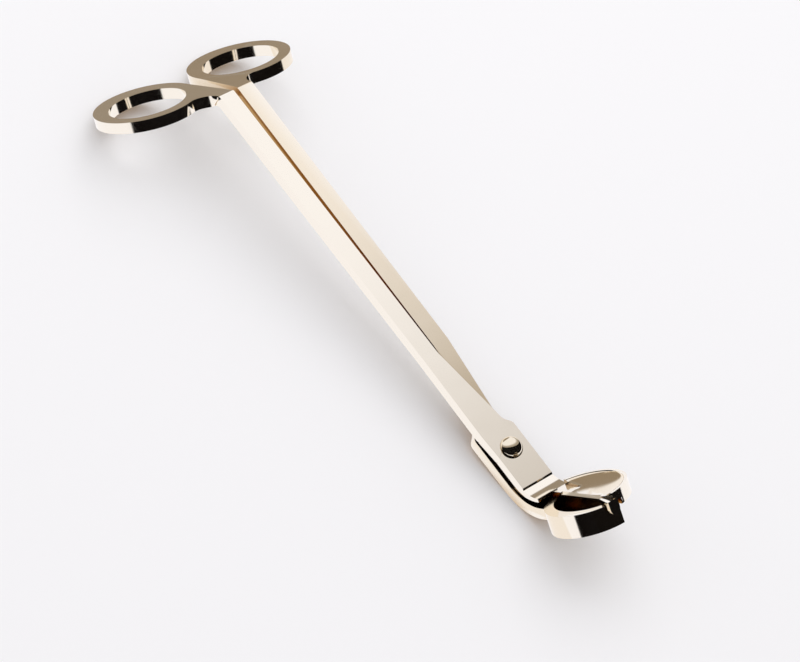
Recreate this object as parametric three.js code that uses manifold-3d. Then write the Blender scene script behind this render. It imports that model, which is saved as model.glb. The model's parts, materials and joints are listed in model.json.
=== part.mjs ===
// Wick trimmer: two cast levers, one ending in a debris tray and one in a dished blade, on one
// domed rivet. Everything is drawn in the arm frame (x from the ring crease towards the head, y across, z up from the
// top of the arms) and then turned so that the trimmer lies on its ring ends and on the heel of its bend.
import * as THREE from "three";
import { mergeVertices } from "three/addons/utils/BufferGeometryUtils.js";
import Module from "manifold-3d";

const wasm = await Module();
wasm.setup();

// ---- driving sizes, mm and degrees ----
const LEVER_THICKNESS = 3.0;
const ARM_LENGTH = 118.7; // ring crease to rivet
const ARM_WIDTH = 4.65;
const ARM_GAP = 1.4; // between the two arms at the rings
const RUNNING_GAP = 0.3; // between faces that lie on each other
const CLOSING_POINT = 88; // where the arms meet edge to edge when shut
const LAP_END = 106; // where the tray lever has dropped fully below the blade lever

const RING_BEND = 47; // rings turned down from the arms
const RING_CREASE_RADIUS = 1.6;
const RING_HOLE_LENGTH = 21.8;
const RING_HOLE_WIDTH = 20.4;
const RING_SIDE_BAND = 3.3;
const RING_NEAR_BAND = 3.5;
const RING_END_BAND = 5.3;
const RING_HOLE_CENTRE = 18.9; // crease to the middle of the hole
const RING_SPACING = 3.7; // clear space between the shut rings
const RING_NECK_FILLET = 5.5;

const PIVOT_PLATE_WIDTH = 10.0;
const PIVOT_PLATE_LEAD = 6.0; // shoulder to rivet
const SHOULDER_RADIUS = 2.4;
const RIVET_SHANK_DIAMETER = 4.0;
const RIVET_RUNNING_CLEARANCE = 0.08; // radial
const RIVET_DOME_DIAMETER = 5.8;
const RIVET_DOME_HEIGHT = 1.9;
const RIVET_TAIL_DIAMETER = 5.6;
const RIVET_TAIL_HEIGHT = 0.9;
const RIVET_SEAT_GAP = 0.1;

const HEAD_BEND = 55; // head turned up from the arms
const HEAD_CORNER = 12.6; // rivet to the corner of the bend
const NECK_STEP = 11.0; // rivet to the step where the blade neck thins
const STEP_RUN = 0.5; // how far the step slopes
const NECK_THICKNESS = 2.2;
const BEND_RADIUS = 11;
const NECK_LIFT = 1.0; // extra air under the blade neck, so that it can swing over the bend
const BLADE_NECK_INSET = 0.3; // how far the blade lever's neck stands back from the tray lever's
const BLADE_NECK_REACH = 6.2; // bend corner to the end of the blade neck beside the tray

const HEAD_CENTRE = 18.4; // bend corner to the middle of the head
const TRAY_RADIUS = 11.4;
const TRAY_CENTRE_OFFSET = 1.6; // the tray's arc is struck from beyond the cutting line
const TRAY_HEIGHT = 5.9;
const TRAY_FLOOR = 1.2;
const TRAY_HOLLOW_RADIUS = 10.6;
const TRAY_HOLLOW_OFFSET = 3.7;
const TRAY_BLADE_THICKNESS = 1.2; // upright cutting wall along the tray's straight side
const DISH_RADIUS = 12.2;
const DISH_CENTRE_OFFSET = 0.6;
const DISH_LIP = 0.9; // thickness of the blade at its cutting edge
const DISH_RIM_HEIGHT = 2.3;
const DISH_SKIRT_DEPTH = 1.5;
const DISH_FLOOR_RADIUS = 2.5;
const DISH_WALL = 0.8;
const CUTTING_OVERLAP = 0.4; // how far the dish reaches past the tray's cutting wall
const TAB_WIDTH = 3.0;
const TAB_DEPTH = 2.6;
const TAB_THICKNESS = 1.1;

// ---- derived levels ----
const halfGap = RUNNING_GAP / 2;
const facing = -LEVER_THICKNESS - halfGap; // the level midway between the lapped plates
const beta = THREE.MathUtils.degToRad(RING_BEND);
const alpha = THREE.MathUtils.degToRad(HEAD_BEND);
const cornerX = ARM_LENGTH + HEAD_CORNER;
const trayPlateTop = facing - halfGap;
const FAR = 60;

// ---- frames ----
const armFrame = new THREE.Matrix4();
const sideFrame = new THREE.Matrix4().makeBasis(
  new THREE.Vector3(1, 0, 0),
  new THREE.Vector3(0, 0, 1),
  new THREE.Vector3(0, -1, 0),
);
// Ring frame: first axis away from the crease, third axis down through the plate.
const ringFrame = new THREE.Matrix4().makeBasis(
  new THREE.Vector3(-Math.cos(beta), 0, -Math.sin(beta)),
  new THREE.Vector3(0, 1, 0),
  new THREE.Vector3(Math.sin(beta), 0, -Math.cos(beta)),
);
// Head frame: first axis towards the tip, third axis up out of the tray, zero between tray rim and dish.
const headFrame = new THREE.Matrix4()
  .makeBasis(
    new THREE.Vector3(Math.cos(alpha), 0, Math.sin(alpha)),
    new THREE.Vector3(0, 1, 0),
    new THREE.Vector3(-Math.sin(alpha), 0, Math.cos(alpha)),
  )
  .setPosition(cornerX, 0, facing);
// Head front frame: drawn across the head (y, then up), extruded along the head's first axis.
const headFrontFrame = headFrame.clone().multiply(
  new THREE.Matrix4().makeBasis(
    new THREE.Vector3(0, 1, 0),
    new THREE.Vector3(0, 0, 1),
    new THREE.Vector3(1, 0, 0),
  ),
);

// ---- solids ----
function solidOf(geometry) {
  const g = geometry.index ? geometry : geometry.clone();
  g.deleteAttribute("normal");
  g.deleteAttribute("uv");
  const merged = mergeVertices(g, 1e-4);
  return new wasm.Manifold(
    new wasm.Mesh({
      numProp: 3,
      vertProperties: new Float32Array(merged.attributes.position.array),
      triVerts: new Uint32Array(merged.index.array),
    }),
  );
}

function geometryOf(solid) {
  const mesh = solid.getMesh();
  const positions = new Float32Array(mesh.numVert * 3);
  for (let i = 0; i < mesh.numVert; i++) {
    positions.set(mesh.vertProperties.subarray(i * mesh.numProp, i * mesh.numProp + 3), i * 3);
  }
  const g = new THREE.BufferGeometry();
  g.setAttribute("position", new THREE.BufferAttribute(positions, 3));
  g.setIndex(new THREE.BufferAttribute(new Uint32Array(mesh.triVerts), 1));
  const flat = g.toNonIndexed();
  flat.computeVertexNormals();
  return flat;
}

// A flat outline given thickness from `from` to `to` along the third axis of a frame.
function slab(outline, frame, from, to) {
  const shape = outline.isShape ? outline : new THREE.Shape(outline);
  const g = new THREE.ExtrudeGeometry(shape, {
    depth: to - from,
    bevelEnabled: false,
    curveSegments: 1,
  });
  g.translate(0, 0, from);
  g.applyMatrix4(frame);
  return solidOf(g);
}

const point = (x, y) => new THREE.Vector2(x, y);

function arc(cx, cy, rx, ry, from, to, steps) {
  return Array.from({ length: steps + 1 }, (_, i) => {
    const t = from + ((to - from) * i) / steps;
    return point(cx + rx * Math.cos(t), cy + ry * Math.sin(t));
  });
}

// The arc that rounds the corner at b between the straight runs a-b and b-c.
function roundedCorner(a, b, c, radius, steps) {
  const back = a.clone().sub(b).normalize();
  const on = c.clone().sub(b).normalize();
  const half = Math.acos(THREE.MathUtils.clamp(back.dot(on), -1, 1)) / 2;
  const reach = radius / Math.tan(half);
  const start = b.clone().addScaledVector(back, reach);
  const middle = back.clone().add(on).normalize();
  const centre = b.clone().addScaledVector(middle, radius / Math.sin(half));
  const from = Math.atan2(start.y - centre.y, start.x - centre.x);
  const turn = (2 * half - Math.PI) * Math.sign(back.cross(on));
  return arc(centre.x, centre.y, radius, radius, from, from + turn, steps);
}

// An outline from corners [x, y] or [x, y, radius]; a radius rounds that corner.
function outlineOf(corners, steps = 8) {
  const at = (i) => corners[(i + corners.length) % corners.length];
  return corners.flatMap((c, i) => {
    const b = point(c[0], c[1]);
    if (!c[2]) return [b];
    const a = point(at(i - 1)[0], at(i - 1)[1]);
    const d = point(at(i + 1)[0], at(i + 1)[1]);
    return roundedCorner(a, b, d, c[2], steps);
  });
}

// ---- side profile of a lever's bend ----
// The line that runs flat at z = level and turns up to run `height` above the head plane.
function bendLine(level, height, radius, end, steps = 10) {
  const u = (level - facing - height * Math.cos(alpha)) / Math.sin(alpha);
  const x = cornerX + u * Math.cos(alpha) - height * Math.sin(alpha);
  const reach = radius * Math.tan(alpha / 2);
  const turn = arc(x - reach, level + radius, radius, radius, -Math.PI / 2, alpha - Math.PI / 2, steps);
  turn.push(
    point(
      cornerX + end * Math.cos(alpha) - height * Math.sin(alpha),
      facing + end * Math.sin(alpha) + height * Math.cos(alpha),
    ),
  );
  return turn;
}

// The line that follows the ring plane at `depth` below its top, turns at the crease and runs along the arm.
function creaseLine(depth, reachOut, radius, steps = 5) {
  const away = point(-Math.cos(beta), -Math.sin(beta));
  const down = point(Math.sin(beta), -Math.cos(beta));
  const out = away.clone().multiplyScalar(reachOut).addScaledVector(down, depth);
  const shift = depth * Math.tan(beta / 2);
  const corner = point(shift, -depth);
  return [out, ...roundedCorner(out, corner, point(FAR, -depth), radius, steps)];
}

// ---- finger ring, seen flat in the ring frame; side is +1 or -1 in y ----
function fingerRing(side) {
  const holeX = RING_HOLE_LENGTH / 2;
  const holeY = RING_HOLE_WIDTH / 2;
  const outerX = holeX + (RING_NEAR_BAND + RING_END_BAND) / 2;
  const outerY = holeY + RING_SIDE_BAND;
  const outerCentre = RING_HOLE_CENTRE + (RING_END_BAND - RING_NEAR_BAND) / 2;
  const centreY = side * (RING_SPACING / 2 + outerY);
  const disc = slab(
    arc(outerCentre, centreY, outerX, outerY, 0, 2 * Math.PI, 96).slice(0, -1),
    ringFrame,
    -1,
    LEVER_THICKNESS + 1,
  );
  const inner = (side * ARM_GAP) / 2;
  const outer = side * (ARM_GAP / 2 + ARM_WIDTH);
  // The neck widens from the arm into the ring on the outside; the ring's own arc closes it inside.
  const meet = outerY * 0.86;
  const meetX = outerCentre - outerX * Math.sqrt(1 - (meet / outerY) ** 2);
  const neckEdge = [
    point(-4, inner),
    point(-4, outer),
    ...roundedCorner(
      point(-4, outer),
      point(RING_NECK_FILLET * 0.75, outer),
      point(meetX, centreY + side * meet * 0.62),
      RING_NECK_FILLET,
      8,
    ),
    point(outerCentre - outerX * 0.78, centreY + side * outerY * 0.62),
    point(outerCentre, centreY),
    point(outerCentre, centreY - side * outerY * 0.995),
  ];
  const neckOutline = side > 0 ? neckEdge.slice().reverse() : neckEdge;
  const neck = slab(neckOutline, ringFrame, -1, LEVER_THICKNESS + 1);
  const hole = slab(
    arc(RING_HOLE_CENTRE, centreY, holeX, holeY, 0, 2 * Math.PI, 96).slice(0, -1),
    ringFrame,
    -3,
    LEVER_THICKNESS + 3,
  );
  return { body: disc.add(neck), hole };
}

// ---- arm edges in the arm frame, for the blade lever (its arm on -y) and the tray lever (on +y) ----
const armInner = ARM_GAP / 2;
const armOuter = armInner + ARM_WIDTH;
const plateHalf = PIVOT_PLATE_WIDTH / 2;
const shoulderX = ARM_LENGTH - PIVOT_PLATE_LEAD;
const shoulderRise = plateHalf - 1.8;
const lapEdge = (x) =>
  -halfGap + ((shoulderRise + halfGap) * (x - CLOSING_POINT)) / (shoulderX - 1.5 - CLOSING_POINT);

function bladeLeverOutline() {
  return outlineOf([
    [-4, -armInner],
    [CLOSING_POINT, -halfGap],
    [shoulderX - 1.5, shoulderRise, SHOULDER_RADIUS],
    [shoulderX + 0.4, plateHalf, 1.6],
    [cornerX + 8, plateHalf],
    [cornerX + 8, -plateHalf + BLADE_NECK_INSET],
    [ARM_LENGTH + 1, -plateHalf + BLADE_NECK_INSET, 5],
    [shoulderX, -plateHalf, 5],
    [CLOSING_POINT, -halfGap - ARM_WIDTH],
    [-4, -armOuter],
  ].reverse());
}

function trayLeverOutline() {
  return outlineOf([
    [-4, armInner],
    [-4, armOuter],
    [CLOSING_POINT, halfGap + ARM_WIDTH],
    [shoulderX, plateHalf - 0.2],
    [cornerX + 8, plateHalf - 0.2],
    [cornerX + 8, -plateHalf - 0.3],
    [shoulderX - 1.2, -plateHalf - 0.3, 2.2],
    [shoulderX - 3.5, -plateHalf + 2.2, 2.0],
    [CLOSING_POINT + 6, halfGap],
    [CLOSING_POINT, halfGap],
  ].reverse());
}

// ---- levers ----
function trayStrip() {
  const dropStart = CLOSING_POINT - 2;
  const top = creaseLine(0, FAR, RING_CREASE_RADIUS);
  const bottom = creaseLine(LEVER_THICKNESS, FAR, 0.5);
  const end = HEAD_CENTRE - TRAY_RADIUS + 2;
  const neckTop = bendLine(trayPlateTop, -halfGap - NECK_LIFT, BEND_RADIUS + 1, end);
  const neckBottom = bendLine(
    trayPlateTop - LEVER_THICKNESS,
    -halfGap - NECK_LIFT - LEVER_THICKNESS,
    BEND_RADIUS + 1 + LEVER_THICKNESS,
    end,
  );
  const profile = [
    ...top,
    point(dropStart, 0),
    point(LAP_END, trayPlateTop),
    ...neckTop,
    ...neckBottom.reverse(),
    point(LAP_END - 1.2, trayPlateTop - LEVER_THICKNESS),
    point(dropStart - 1.2, -LEVER_THICKNESS),
    ...bottom.reverse(),
  ];
  return slab(profile.reverse(), sideFrame, -FAR, FAR);
}

function bladeStrip() {
  const top = creaseLine(0, FAR, RING_CREASE_RADIUS);
  const bottom = creaseLine(LEVER_THICKNESS, FAR, 0.5);
  const end = HEAD_CENTRE - TRAY_RADIUS + 3;
  const stepX = ARM_LENGTH + NECK_STEP;
  const neckTop = bendLine(-LEVER_THICKNESS + NECK_THICKNESS, halfGap + DISH_LIP, BEND_RADIUS - 2, end);
  const neckBottom = bendLine(-LEVER_THICKNESS, halfGap, BEND_RADIUS, end);
  const turned = neckTop.filter((p) => p.x > stepX + 0.2);
  const before = neckTop.filter((p) => p.x <= stepX + 0.2).pop() ?? point(0, neckTop[0].y);
  const share = (stepX - before.x) / (turned[0].x - before.x);
  const stepZ = before.y + (turned[0].y - before.y) * share;
  const profile = [
    ...top,
    point(stepX - STEP_RUN, 0),
    point(stepX, stepZ),
    ...turned,
    ...neckBottom.reverse(),
    ...bottom.reverse(),
  ];
  return slab(profile.reverse(), sideFrame, -FAR, FAR);
}

// Everything in the arm frame's plan between the crease and the head, as a tall prism.
const armPrism = (outline) => slab(outline, armFrame, -12, 14);
// Keeps the arm prism off the ring side of the crease.
function ringCut() {
  return slab([point(-FAR, -FAR), point(0, -FAR), point(0, FAR), point(-FAR, FAR)], armFrame, -FAR, FAR);
}

function rivetHole() {
  const r = RIVET_SHANK_DIAMETER / 2 + RIVET_RUNNING_CLEARANCE;
  return slab(arc(ARM_LENGTH, 0, r, r, 0, 2 * Math.PI, 64).slice(0, -1), armFrame, -FAR, FAR);
}

// A segment of a disc in the head frame, on the side of y = cut given by sign.
function discSegment(centreY, radius, cut, sign, steps = 56) {
  const half = Math.acos(THREE.MathUtils.clamp((sign * (cut - centreY)) / radius, -1, 1));
  const middle = (sign * Math.PI) / 2;
  return arc(HEAD_CENTRE, centreY, radius, radius, middle - half, middle + half, steps);
}

const cutLine = -CUTTING_OVERLAP / 2;
const trayWallOuter = CUTTING_OVERLAP / 2 + TRAY_BLADE_THICKNESS;

function debrisTray() {
  const rim = -halfGap;
  const bowl = slab(
    discSegment(TRAY_CENTRE_OFFSET, TRAY_RADIUS, trayWallOuter, -1),
    headFrame,
    rim - TRAY_HEIGHT,
    rim,
  );
  const hollow = slab(
    discSegment(TRAY_HOLLOW_OFFSET, TRAY_HOLLOW_RADIUS, CUTTING_OVERLAP / 2, -1),
    headFrame,
    rim - TRAY_HEIGHT + TRAY_FLOOR,
    rim + 4,
  );
  return { bowl, hollow };
}

function dishedBlade() {
  const lipBottom = halfGap;
  const rim = lipBottom + DISH_RIM_HEIGHT;
  const floor = lipBottom + DISH_LIP;
  const body = slab(discSegment(-DISH_CENTRE_OFFSET, DISH_RADIUS, cutLine, 1), headFrame, lipBottom, rim);
  const skirt = slab(
    discSegment(-DISH_CENTRE_OFFSET, DISH_RADIUS, trayWallOuter + 2 * RUNNING_GAP, 1),
    headFrame,
    lipBottom - DISH_SKIRT_DEPTH,
    lipBottom + 0.3,
  ).subtract(headPrism(-FAR / 2, HEAD_CENTRE - TRAY_RADIUS + 5, -FAR / 2, FAR / 2));
  const bowlRadius = DISH_RADIUS - DISH_WALL;
  const curve = arc(
    DISH_FLOOR_RADIUS,
    rim + 0.01,
    bowlRadius - DISH_FLOOR_RADIUS,
    rim + 0.01 - floor,
    -Math.PI / 2,
    0,
    14,
  );
  const lathe = new THREE.LatheGeometry(
    [point(0, floor), ...curve, point(bowlRadius, rim + 4), point(0, rim + 4)],
    72,
  );
  lathe.rotateX(Math.PI / 2);
  lathe.translate(HEAD_CENTRE, -DISH_CENTRE_OFFSET, 0);
  lathe.applyMatrix4(headFrame);
  const channel = slab(
    outlineOf([
      [-6, -FAR / 4],
      [HEAD_CENTRE - 5, -FAR / 4],
      [HEAD_CENTRE - 5, plateHalf - 1.2],
      [-6, plateHalf - 1.2],
    ]),
    headFrame,
    floor,
    rim + 5,
  );
  // The cutting edge is ground to a bevel along its upper side.
  const bevel = slab(
    [
      point(cutLine - 1, lipBottom + 0.35),
      point(cutLine, lipBottom + 0.35),
      point(cutLine + 0.9, floor + 0.2),
      point(cutLine - 1, floor + 0.2),
    ],
    headFrontFrame,
    HEAD_CENTRE - TRAY_RADIUS + 3,
    HEAD_CENTRE + TRAY_RADIUS - 3.2,
  );
  return body.add(skirt).subtract(solidOf(lathe)).subtract(channel).subtract(bevel);
}

// The small finger at the tip of the blade that hangs over the end of the tray.
function tipTab() {
  const left = cutLine - TAB_WIDTH + 0.8;
  const right = left + TAB_WIDTH;
  const top = halfGap + DISH_LIP;
  const r = TAB_WIDTH / 2;
  const start = HEAD_CENTRE + TRAY_RADIUS + RUNNING_GAP;
  const finger = slab(
    [
      point(left, top),
      ...arc((left + right) / 2, -TAB_DEPTH + r, r, r, Math.PI, 2 * Math.PI, 12),
      point(right, top),
    ],
    headFrontFrame,
    start,
    start + TAB_THICKNESS,
  );
  const bridge = slab(
    [
      point(start - 3.6, left + 1.2),
      point(start + 0.4, left),
      point(start + 0.4, right),
      point(start - 3.6, right + 1),
    ],
    headFrame,
    halfGap,
    top,
  );
  return finger.add(bridge);
}

function headPrism(from, to, left, right) {
  return slab(outlineOf([[from, left], [to, left], [to, right], [from, right]]), headFrame, -14, 14);
}

function trayLever() {
  const ring = fingerRing(1);
  const arm = armPrism(trayLeverOutline()).subtract(ringCut());
  let lever = trayStrip().intersect(ring.body.subtract(armHalfSpace()).add(arm)).subtract(ring.hole);
  const relief = slab(
    [
      point(CLOSING_POINT - 4, -FAR),
      point(LAP_END + 3, -FAR),
      point(LAP_END + 3, lapEdge(LAP_END + 3) + RUNNING_GAP),
      point(CLOSING_POINT, lapEdge(CLOSING_POINT) + RUNNING_GAP),
      point(CLOSING_POINT - 4, lapEdge(CLOSING_POINT) + RUNNING_GAP - 0.01),
    ],
    armFrame,
    trayPlateTop,
    FAR,
  );
  lever = lever.subtract(relief);
  const tray = debrisTray();
  return lever.add(tray.bowl).subtract(tray.hollow).subtract(rivetHole());
}

function armHalfSpace() {
  return slab([point(0, -FAR), point(FAR * 3, -FAR), point(FAR * 3, FAR), point(0, FAR)], armFrame, -FAR, FAR);
}

function bladeLever() {
  const ring = fingerRing(-1);
  const arm = armPrism(bladeLeverOutline()).subtract(ringCut());
  let lever = bladeStrip().intersect(ring.body.subtract(armHalfSpace()).add(arm)).subtract(ring.hole);
  // Left of the cutting line the neck stops short of the tray.
  lever = lever.subtract(headPrism(BLADE_NECK_REACH, FAR / 2, -FAR / 2, cutLine));
  return lever.add(dishedBlade()).add(tipTab()).subtract(rivetHole());
}

function pivotRivet() {
  const shank = RIVET_SHANK_DIAMETER / 2;
  const seat = RIVET_SEAT_GAP;
  const underside = trayPlateTop - LEVER_THICKNESS - RIVET_SEAT_GAP;
  const domeR = RIVET_DOME_DIAMETER / 2;
  const tailR = RIVET_TAIL_DIAMETER / 2;
  const profile = [
    point(0, underside - RIVET_TAIL_HEIGHT),
    ...arc(0, underside, tailR, RIVET_TAIL_HEIGHT, -Math.PI / 2, 0, 8).slice(1),
    point(shank, underside),
    point(shank, seat),
    ...arc(0, seat + 0.25, domeR, RIVET_DOME_HEIGHT - 0.25, 0, Math.PI / 2, 12).slice(0, -1),
    point(0, seat + RIVET_DOME_HEIGHT),
  ];
  profile.splice(profile.findIndex((p) => p.x === shank && p.y === seat) + 1, 0, point(domeR, seat));
  const g = new THREE.LatheGeometry(profile, 64);
  g.rotateX(Math.PI / 2);
  g.translate(ARM_LENGTH, 0, 0);
  return solidOf(g);
}

// ---- assembly ----
function piece(name, solid, colour, roughness) {
  const mesh = new THREE.Mesh(
    geometryOf(solid),
    new THREE.MeshStandardMaterial({ color: colour, roughness, metalness: 1 }),
  );
  mesh.name = name;
  return mesh;
}

// The tilt at which the ring ends and the heel of the bend stand on one level.
function restTilt(meshes) {
  const split = ARM_LENGTH / 2;
  const lowest = (angle, headSide) =>
    Math.min(
      ...meshes.map((m) => {
        const p = m.geometry.attributes.position;
        let low = Infinity;
        for (let i = 0; i < p.count; i++) {
          if (p.getX(i) > split !== headSide) continue;
          low = Math.min(low, p.getZ(i) * Math.cos(angle) - p.getX(i) * Math.sin(angle));
        }
        return low;
      }),
    );
  let low = 0;
  let high = Math.PI / 4;
  for (let i = 0; i < 40; i++) {
    const middle = (low + high) / 2;
    if (lowest(middle, true) > lowest(middle, false)) low = middle;
    else high = middle;
  }
  return low;
}

const GOLD = 0xe6d3ac;
const levers = new THREE.Group();
levers.add(
  piece("tray_lever", trayLever(), GOLD, 0.12),
  piece("blade_lever", bladeLever(), GOLD, 0.12),
  piece("pivot_rivet", pivotRivet(), 0xdcc79d, 0.15),
);
levers.rotation.y = restTilt(levers.children);
levers.updateMatrixWorld(true);
const bounds = new THREE.Box3().setFromObject(levers, true);
const group = new THREE.Group();
levers.position.set(-(bounds.min.x + bounds.max.x) / 2, -(bounds.min.y + bounds.max.y) / 2, -bounds.min.z);
group.add(levers);

export default group;
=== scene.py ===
import json
from math import cos, pi, radians, sin

import bmesh
import bpy
from mathutils import Matrix, Vector


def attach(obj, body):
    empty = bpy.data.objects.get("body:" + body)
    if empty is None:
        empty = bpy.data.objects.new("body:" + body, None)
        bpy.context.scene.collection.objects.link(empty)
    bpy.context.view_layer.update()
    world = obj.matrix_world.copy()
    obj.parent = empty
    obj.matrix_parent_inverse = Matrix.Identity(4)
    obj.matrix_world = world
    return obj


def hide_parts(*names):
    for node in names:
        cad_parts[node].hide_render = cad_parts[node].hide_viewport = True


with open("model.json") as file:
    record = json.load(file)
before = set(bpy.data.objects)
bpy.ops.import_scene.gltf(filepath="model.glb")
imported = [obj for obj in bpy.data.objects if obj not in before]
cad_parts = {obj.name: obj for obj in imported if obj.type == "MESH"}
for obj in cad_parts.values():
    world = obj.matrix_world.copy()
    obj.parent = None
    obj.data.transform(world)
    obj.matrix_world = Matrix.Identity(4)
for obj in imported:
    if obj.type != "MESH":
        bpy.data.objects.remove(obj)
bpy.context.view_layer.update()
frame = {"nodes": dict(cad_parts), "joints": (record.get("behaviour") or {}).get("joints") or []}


# ---- Camera ------------------------------------------------------------------------------
# The trimmer is seen from high above its head end, on the blade lever's side, from a good
# arm's length away. The picture is rolled so that the arms run down it from left to right.

CAMERA_AIM = Vector((0.0221, -0.0159, 0.0296))
CAMERA_DISTANCE = 0.80
CAMERA_AZIMUTH = radians(36.35)
CAMERA_ELEVATION = radians(50.73)
CAMERA_ROLL = radians(18.19)
CAMERA_LENS = 148.156
SENSOR_WIDTH = 36.0
NEAR_LIMIT = 0.01
FAR_LIMIT = 20.0

look = Vector((
    -sin(CAMERA_AZIMUTH) * cos(CAMERA_ELEVATION),
    cos(CAMERA_AZIMUTH) * cos(CAMERA_ELEVATION),
    -sin(CAMERA_ELEVATION),
))
camera_data = bpy.data.cameras.new("studio_camera")
camera_data.lens = CAMERA_LENS
camera_data.sensor_width = SENSOR_WIDTH
camera_data.clip_start = NEAR_LIMIT
camera_data.clip_end = FAR_LIMIT
camera = bpy.data.objects.new("studio_camera", camera_data)
bpy.context.scene.collection.objects.link(camera)
camera.location = CAMERA_AIM - look * CAMERA_DISTANCE
camera.rotation_mode = "QUATERNION"
level = look.to_track_quat("-Z", "Y")
camera.rotation_quaternion = level @ Matrix.Rotation(CAMERA_ROLL, 3, "Z").to_quaternion()
bpy.context.scene.camera = camera


# ---- Floor, lights and surroundings ------------------------------------------------------
# A matt white table top under a large soft light. The polished metal mirrors a dark studio
# with one wide softbox beyond the rings, a dim wall below it and a white table. The table top
# itself gets an even soft light from all round, so it stays white.

FLOOR_SIZE = 6.0
FLOOR_COLOUR = (0.90, 0.895, 0.905, 1.0)
FLOOR_ROUGHNESS = 0.9
FLOOR_SHINE = 0.1
SOFTBOX_SIZE = 1.3
SOFTBOX_POWER = 4.6
SOFTBOX_PLACE = Vector((-0.45, 0.35, 0.95))
SOFT_LIGHT = (0.800, 0.793, 0.803, 1.0)
STUDIO_WHITE = (1.04, 1.05, 1.12, 1.0)
STUDIO_GREY = (0.335, 0.280, 0.218, 1.0)
BOX_EDGE_GLOW = (0.45, 0.405, 0.355, 1.0)
TABLE_WHITE = (1.02, 1.02, 1.08, 1.0)
STUDIO_BLACK = (0.004, 0.003, 0.003, 1.0)

# Directions to the middle of each part, and the cosines between which it fades in. BOX_GLOW
# is where the softbox itself goes from its dim rim to white.
BOX_SIDE = Vector((-0.795, 0.269, 0.544))
BOX_RIM = (0.465, 0.490)
BOX_GLOW = (0.60, 0.75)
TABLE_SIDE = Vector((0.221, 0.073, -0.972))
TABLE_RIM = (0.145, 0.165)
GREY_SIDE = Vector((-0.962, 0.271, -0.028))
GREY_RIM = (0.897, 0.922)

floor_mesh = bpy.data.meshes.new("table_top")
sheet = bmesh.new()
bmesh.ops.create_grid(sheet, x_segments=1, y_segments=1, size=FLOOR_SIZE / 2)
sheet.to_mesh(floor_mesh)
sheet.free()
floor = bpy.data.objects.new("table_top", floor_mesh)
bpy.context.scene.collection.objects.link(floor)
floor.visible_glossy = False

matt_white = bpy.data.materials.new("matt_white")
matt_white.use_nodes = True
matt_shader = matt_white.node_tree.nodes["Principled BSDF"]
matt_shader.inputs["Base Color"].default_value = FLOOR_COLOUR
matt_shader.inputs["Roughness"].default_value = FLOOR_ROUGHNESS
matt_shader.inputs["Specular IOR Level"].default_value = FLOOR_SHINE
floor_mesh.materials.append(matt_white)

softbox_data = bpy.data.lights.new("softbox", "AREA")
softbox_data.shape = "DISK"
softbox_data.size = SOFTBOX_SIZE
softbox_data.energy = SOFTBOX_POWER
softbox = bpy.data.objects.new("softbox", softbox_data)
bpy.context.scene.collection.objects.link(softbox)
softbox.location = SOFTBOX_PLACE
softbox.rotation_mode = "QUATERNION"
softbox.rotation_quaternion = (CAMERA_AIM - SOFTBOX_PLACE).to_track_quat("-Z", "Y")
softbox.visible_glossy = False

world = bpy.data.worlds.new("studio")
bpy.context.scene.world = world
world.use_nodes = True
sky = world.node_tree


def facing(direction, fade):
    """A 0 to 1 mask of how near the surroundings lie to a direction, from its cosine."""
    place = sky.nodes.new("ShaderNodeTexCoord")
    dot = sky.nodes.new("ShaderNodeVectorMath")
    dot.operation = "DOT_PRODUCT"
    dot.inputs[1].default_value = direction.normalized()
    sky.links.new(place.outputs["Generated"], dot.inputs[0])
    mask = sky.nodes.new("ShaderNodeMapRange")
    mask.interpolation_type = "SMOOTHSTEP"
    mask.inputs["From Min"].default_value = fade[0]
    mask.inputs["From Max"].default_value = fade[1]
    sky.links.new(dot.outputs["Value"], mask.inputs["Value"])
    return mask.outputs["Result"]


def blended(factor, first, second):
    """One colour of the surroundings over another, by a mask."""
    mix = sky.nodes.new("ShaderNodeMix")
    mix.data_type = "RGBA"
    sky.links.new(factor, mix.inputs["Factor"])
    for socket, colour in ((mix.inputs["A"], first), (mix.inputs["B"], second)):
        if isinstance(colour, tuple):
            socket.default_value = colour
        else:
            sky.links.new(colour, socket)
    return mix.outputs["Result"]


box_face = blended(facing(BOX_SIDE, BOX_GLOW), BOX_EDGE_GLOW, STUDIO_WHITE)
upper = blended(facing(BOX_SIDE, BOX_RIM), STUDIO_BLACK, box_face)
room = blended(facing(TABLE_SIDE, TABLE_RIM), upper, TABLE_WHITE)
studio = blended(facing(GREY_SIDE, GREY_RIM), room, STUDIO_GREY)
ray = sky.nodes.new("ShaderNodeLightPath")
surroundings = blended(ray.outputs["Is Glossy Ray"], SOFT_LIGHT, studio)
sky.links.new(surroundings, sky.nodes["Background"].inputs["Color"])
bpy.context.scene.view_settings.view_transform = "Standard"


# ---- Tray lever --------------------------------------------------------------------------
# The lower of the two levers, with the far finger ring at one end and the debris tray at the
# other. It is one steel casting, tumbled, polished and plated in a pale champagne gold, and
# its cast edges are broken by the polishing wheel.

BROKEN_EDGE = 0.00028
EDGE_STEPS = 3
SHARP_ANGLE = radians(28)
FLAT_ANGLE = radians(0.4)
MERGE_DISTANCE = 2e-6
FLAT_FACE_WEIGHT = 80

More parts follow.
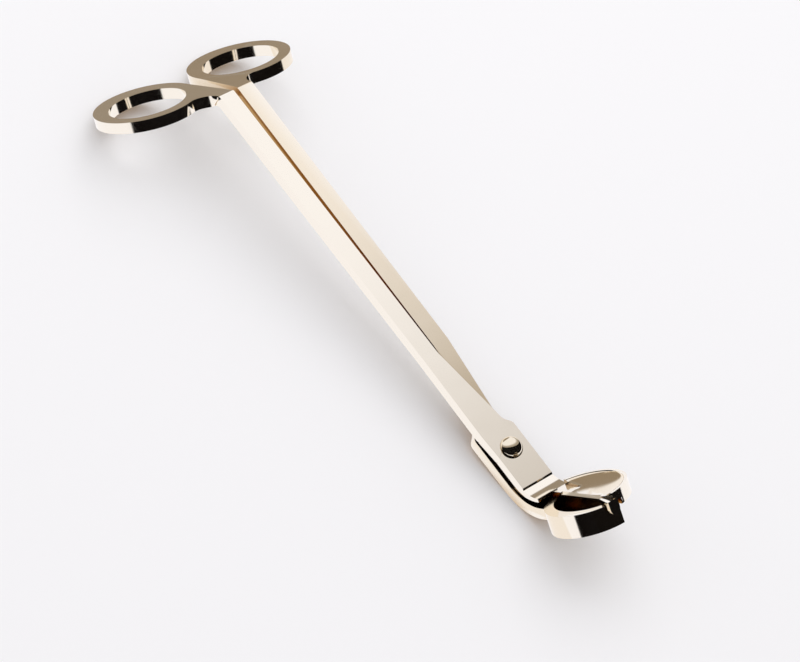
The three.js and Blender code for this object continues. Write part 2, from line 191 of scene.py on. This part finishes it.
PLATING_COLOUR = (0.880, 0.780, 0.620, 1.0)
PLATING_SHADE = (0.850, 0.725, 0.540, 1.0)
PLATING_ROUGHNESS = 0.07
POLISH_SCALE = 45.0
CLOUD_DETAIL = 3.0
WORN_COLOUR = (0.93, 0.86, 0.74, 1.0)
WORN_FROM = 0.52
WORN_FULL = 0.62
# Painted shade: a dark brown mixed into the plating wherever ambient occlusion finds a narrow
# gap or hollow.
PAINTED_RECESS_SHADE = (0.42, 0.23, 0.06, 1.0)
PAINTED_SHADE_REACH = 0.006
PAINTED_SHADE_SAMPLES = 12
PAINTED_SHADE_FROM = 0.74
PAINTED_SHADE_FULL = 0.32
LEAST_HAZE = 0.6
MOST_HAZE = 1.6
WAVES_PER_CLOUD = 2.5
WAVE_DETAIL = 1.0
WAVE_STRENGTH = 0.25
WAVE_HEIGHT = 0.00006


def polished_copy(name, node):
    """A clean copy of a CAD node's mesh, its flats joined and its edges broken."""
    mesh = bpy.data.meshes.new(name)
    shape = bmesh.new()
    shape.from_mesh(frame["nodes"][node].data)
    bmesh.ops.remove_doubles(shape, verts=shape.verts, dist=MERGE_DISTANCE)
    bmesh.ops.dissolve_limit(
        shape,
        angle_limit=FLAT_ANGLE,
        verts=shape.verts,
        edges=shape.edges,
    )
    for face in shape.faces:
        face.smooth = True
    for edge in shape.edges:
        edge.smooth = edge.calc_face_angle(0.0) < SHARP_ANGLE
    shape.to_mesh(mesh)
    shape.free()
    piece = bpy.data.objects.new(name, mesh)
    bpy.context.scene.collection.objects.link(piece)
    edges = piece.modifiers.new("broken_edges", "BEVEL")
    edges.width = BROKEN_EDGE
    edges.segments = EDGE_STEPS
    edges.limit_method = "ANGLE"
    edges.angle_limit = SHARP_ANGLE
    normals = piece.modifiers.new("flat_faces", "WEIGHTED_NORMAL")
    normals.mode = "FACE_AREA"
    normals.weight = FLAT_FACE_WEIGHT
    return piece


def plating(name, colour, shade, roughness, polish_scale):
    """Polished plated metal: clouded tint, worn edges, painted shade in recesses, haze and faint
    waves.
    """
    material = bpy.data.materials.new(name)
    material.use_nodes = True
    tree = material.node_tree
    shader = tree.nodes["Principled BSDF"]
    shader.inputs["Metallic"].default_value = 1.0
    place = tree.nodes.new("ShaderNodeTexCoord")

    clouds = tree.nodes.new("ShaderNodeTexNoise")
    clouds.inputs["Scale"].default_value = polish_scale
    clouds.inputs["Detail"].default_value = CLOUD_DETAIL
    tree.links.new(place.outputs["Object"], clouds.inputs["Vector"])

    tint = tree.nodes.new("ShaderNodeMix")
    tint.data_type = "RGBA"
    tint.inputs["A"].default_value = colour
    tint.inputs["B"].default_value = shade
    tree.links.new(clouds.outputs["Fac"], tint.inputs["Factor"])

    geometry = tree.nodes.new("ShaderNodeNewGeometry")
    worn = tree.nodes.new("ShaderNodeMapRange")
    worn.inputs["From Min"].default_value = WORN_FROM
    worn.inputs["From Max"].default_value = WORN_FULL
    tree.links.new(geometry.outputs["Pointiness"], worn.inputs["Value"])
    rubbed = tree.nodes.new("ShaderNodeMix")
    rubbed.data_type = "RGBA"
    rubbed.inputs["B"].default_value = WORN_COLOUR
    tree.links.new(worn.outputs["Result"], rubbed.inputs["Factor"])
    tree.links.new(tint.outputs["Result"], rubbed.inputs["A"])

    # Painted shade: ambient occlusion turns the plating dark brown in the gaps between the
    # levers and inside the tray.
    shade_occlusion = tree.nodes.new("ShaderNodeAmbientOcclusion")
    shade_occlusion.samples = PAINTED_SHADE_SAMPLES
    shade_occlusion.inputs["Distance"].default_value = PAINTED_SHADE_REACH
    painted_shade_mask = tree.nodes.new("ShaderNodeMapRange")
    painted_shade_mask.inputs["From Min"].default_value = PAINTED_SHADE_FROM
    painted_shade_mask.inputs["From Max"].default_value = PAINTED_SHADE_FULL
    tree.links.new(shade_occlusion.outputs["AO"], painted_shade_mask.inputs["Value"])
    painted_shade_mix = tree.nodes.new("ShaderNodeMix")
    painted_shade_mix.data_type = "RGBA"
    painted_shade_mix.inputs["B"].default_value = PAINTED_RECESS_SHADE
    tree.links.new(painted_shade_mask.outputs["Result"], painted_shade_mix.inputs["Factor"])
    tree.links.new(rubbed.outputs["Result"], painted_shade_mix.inputs["A"])
    tree.links.new(painted_shade_mix.outputs["Result"], shader.inputs["Base Color"])

    haze = tree.nodes.new("ShaderNodeMapRange")
    haze.inputs["To Min"].default_value = roughness * LEAST_HAZE
    haze.inputs["To Max"].default_value = roughness * MOST_HAZE
    tree.links.new(clouds.outputs["Fac"], haze.inputs["Value"])
    tree.links.new(haze.outputs["Result"], shader.inputs["Roughness"])

    waves = tree.nodes.new("ShaderNodeTexNoise")
    waves.inputs["Scale"].default_value = polish_scale * WAVES_PER_CLOUD
    waves.inputs["Detail"].default_value = WAVE_DETAIL
    tree.links.new(place.outputs["Object"], waves.inputs["Vector"])
    relief = tree.nodes.new("ShaderNodeBump")
    relief.inputs["Strength"].default_value = WAVE_STRENGTH
    relief.inputs["Distance"].default_value = WAVE_HEIGHT
    tree.links.new(waves.outputs["Fac"], relief.inputs["Height"])
    tree.links.new(relief.outputs["Normal"], shader.inputs["Normal"])
    return material


champagne_plating = plating(
    "champagne_plating",
    PLATING_COLOUR,
    PLATING_SHADE,
    PLATING_ROUGHNESS,
    POLISH_SCALE,
)

tray_lever = polished_copy("polished_tray_lever", "tray_lever")
tray_lever.data.materials.append(champagne_plating)
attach(tray_lever, "tray_side")
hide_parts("tray_lever")


# ---- Blade lever -------------------------------------------------------------------------
# The upper lever, with the near finger ring and the dished blade, which swings over the tray.
# It is cast and plated as its partner is, and the rivet holds it on top of the tray lever.

blade_lever = polished_copy("polished_blade_lever", "blade_lever")
blade_lever.data.materials.append(champagne_plating)
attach(blade_lever, "blade_side")
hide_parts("blade_lever")


# ---- Pivot rivet -------------------------------------------------------------------------
# One domed steel rivet, plated as the levers are. Its shank passes through both plates, and
# its tail is spun over below the tray lever, so that it stays in and the blade lever turns.

DOME_RADIUS = 0.0029
DOME_HEIGHT = 0.0019
DOME_SEAT = 0.0001
SHANK_RADIUS = 0.0020
TAIL_RADIUS = 0.0028
TAIL_HEIGHT = 0.0009
TAIL_SEAT = -0.0064
ARC_STEPS = 14
ROUND_STEPS = 96
RIVET_TINT = (0.900, 0.820, 0.680, 1.0)
RIVET_SHADE = (0.850, 0.740, 0.570, 1.0)
RIVET_ROUGHNESS = 0.08
RIVET_POLISH_SCALE = 160.0


def bulge(radius, height, seat, direction):
    """Points of a rounded head, from its crown down to its edge: (distance out, place along)."""
    turns = [pi / 2 * step / ARC_STEPS for step in range(ARC_STEPS + 1)]
    return [(radius * sin(turn), seat + direction * height * cos(turn)) for turn in turns]


outline = bulge(DOME_RADIUS, DOME_HEIGHT, DOME_SEAT, 1)
outline += [(SHANK_RADIUS, DOME_SEAT), (SHANK_RADIUS, TAIL_SEAT)]
outline += reversed(bulge(TAIL_RADIUS, TAIL_HEIGHT, TAIL_SEAT, -1))

turned = bmesh.new()
points = [turned.verts.new((out, 0.0, along)) for out, along in outline]
edges = [turned.edges.new(pair) for pair in zip(points, points[1:])]
bmesh.ops.spin(
    turned,
    geom=points + edges,
    cent=(0, 0, 0),
    axis=(0, 0, 1),
    angle=2 * pi,
    steps=ROUND_STEPS,
    use_merge=True,
)
bmesh.ops.remove_doubles(turned, verts=turned.verts, dist=MERGE_DISTANCE)
bmesh.ops.recalc_face_normals(turned, faces=turned.faces)
for face in turned.faces:
    face.smooth = True
for edge in turned.edges:
    edge.smooth = edge.calc_face_angle(0.0) < SHARP_ANGLE
hinge = frame["joints"][0]
upright = Vector(hinge["axis"]).to_track_quat("Z", "Y").to_matrix().to_4x4()
turned.transform(Matrix.Translation(hinge["pos_m"]) @ upright)

rivet_mesh = bpy.data.meshes.new("domed_rivet")
turned.to_mesh(rivet_mesh)
turned.free()
rivet = bpy.data.objects.new("domed_rivet", rivet_mesh)
bpy.context.scene.collection.objects.link(rivet)
rivet_mesh.materials.append(plating(
    "rivet_plating",
    RIVET_TINT,
    RIVET_SHADE,
    RIVET_ROUGHNESS,
    RIVET_POLISH_SCALE,
))
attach(rivet, "tray_side")
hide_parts("pivot_rivet")
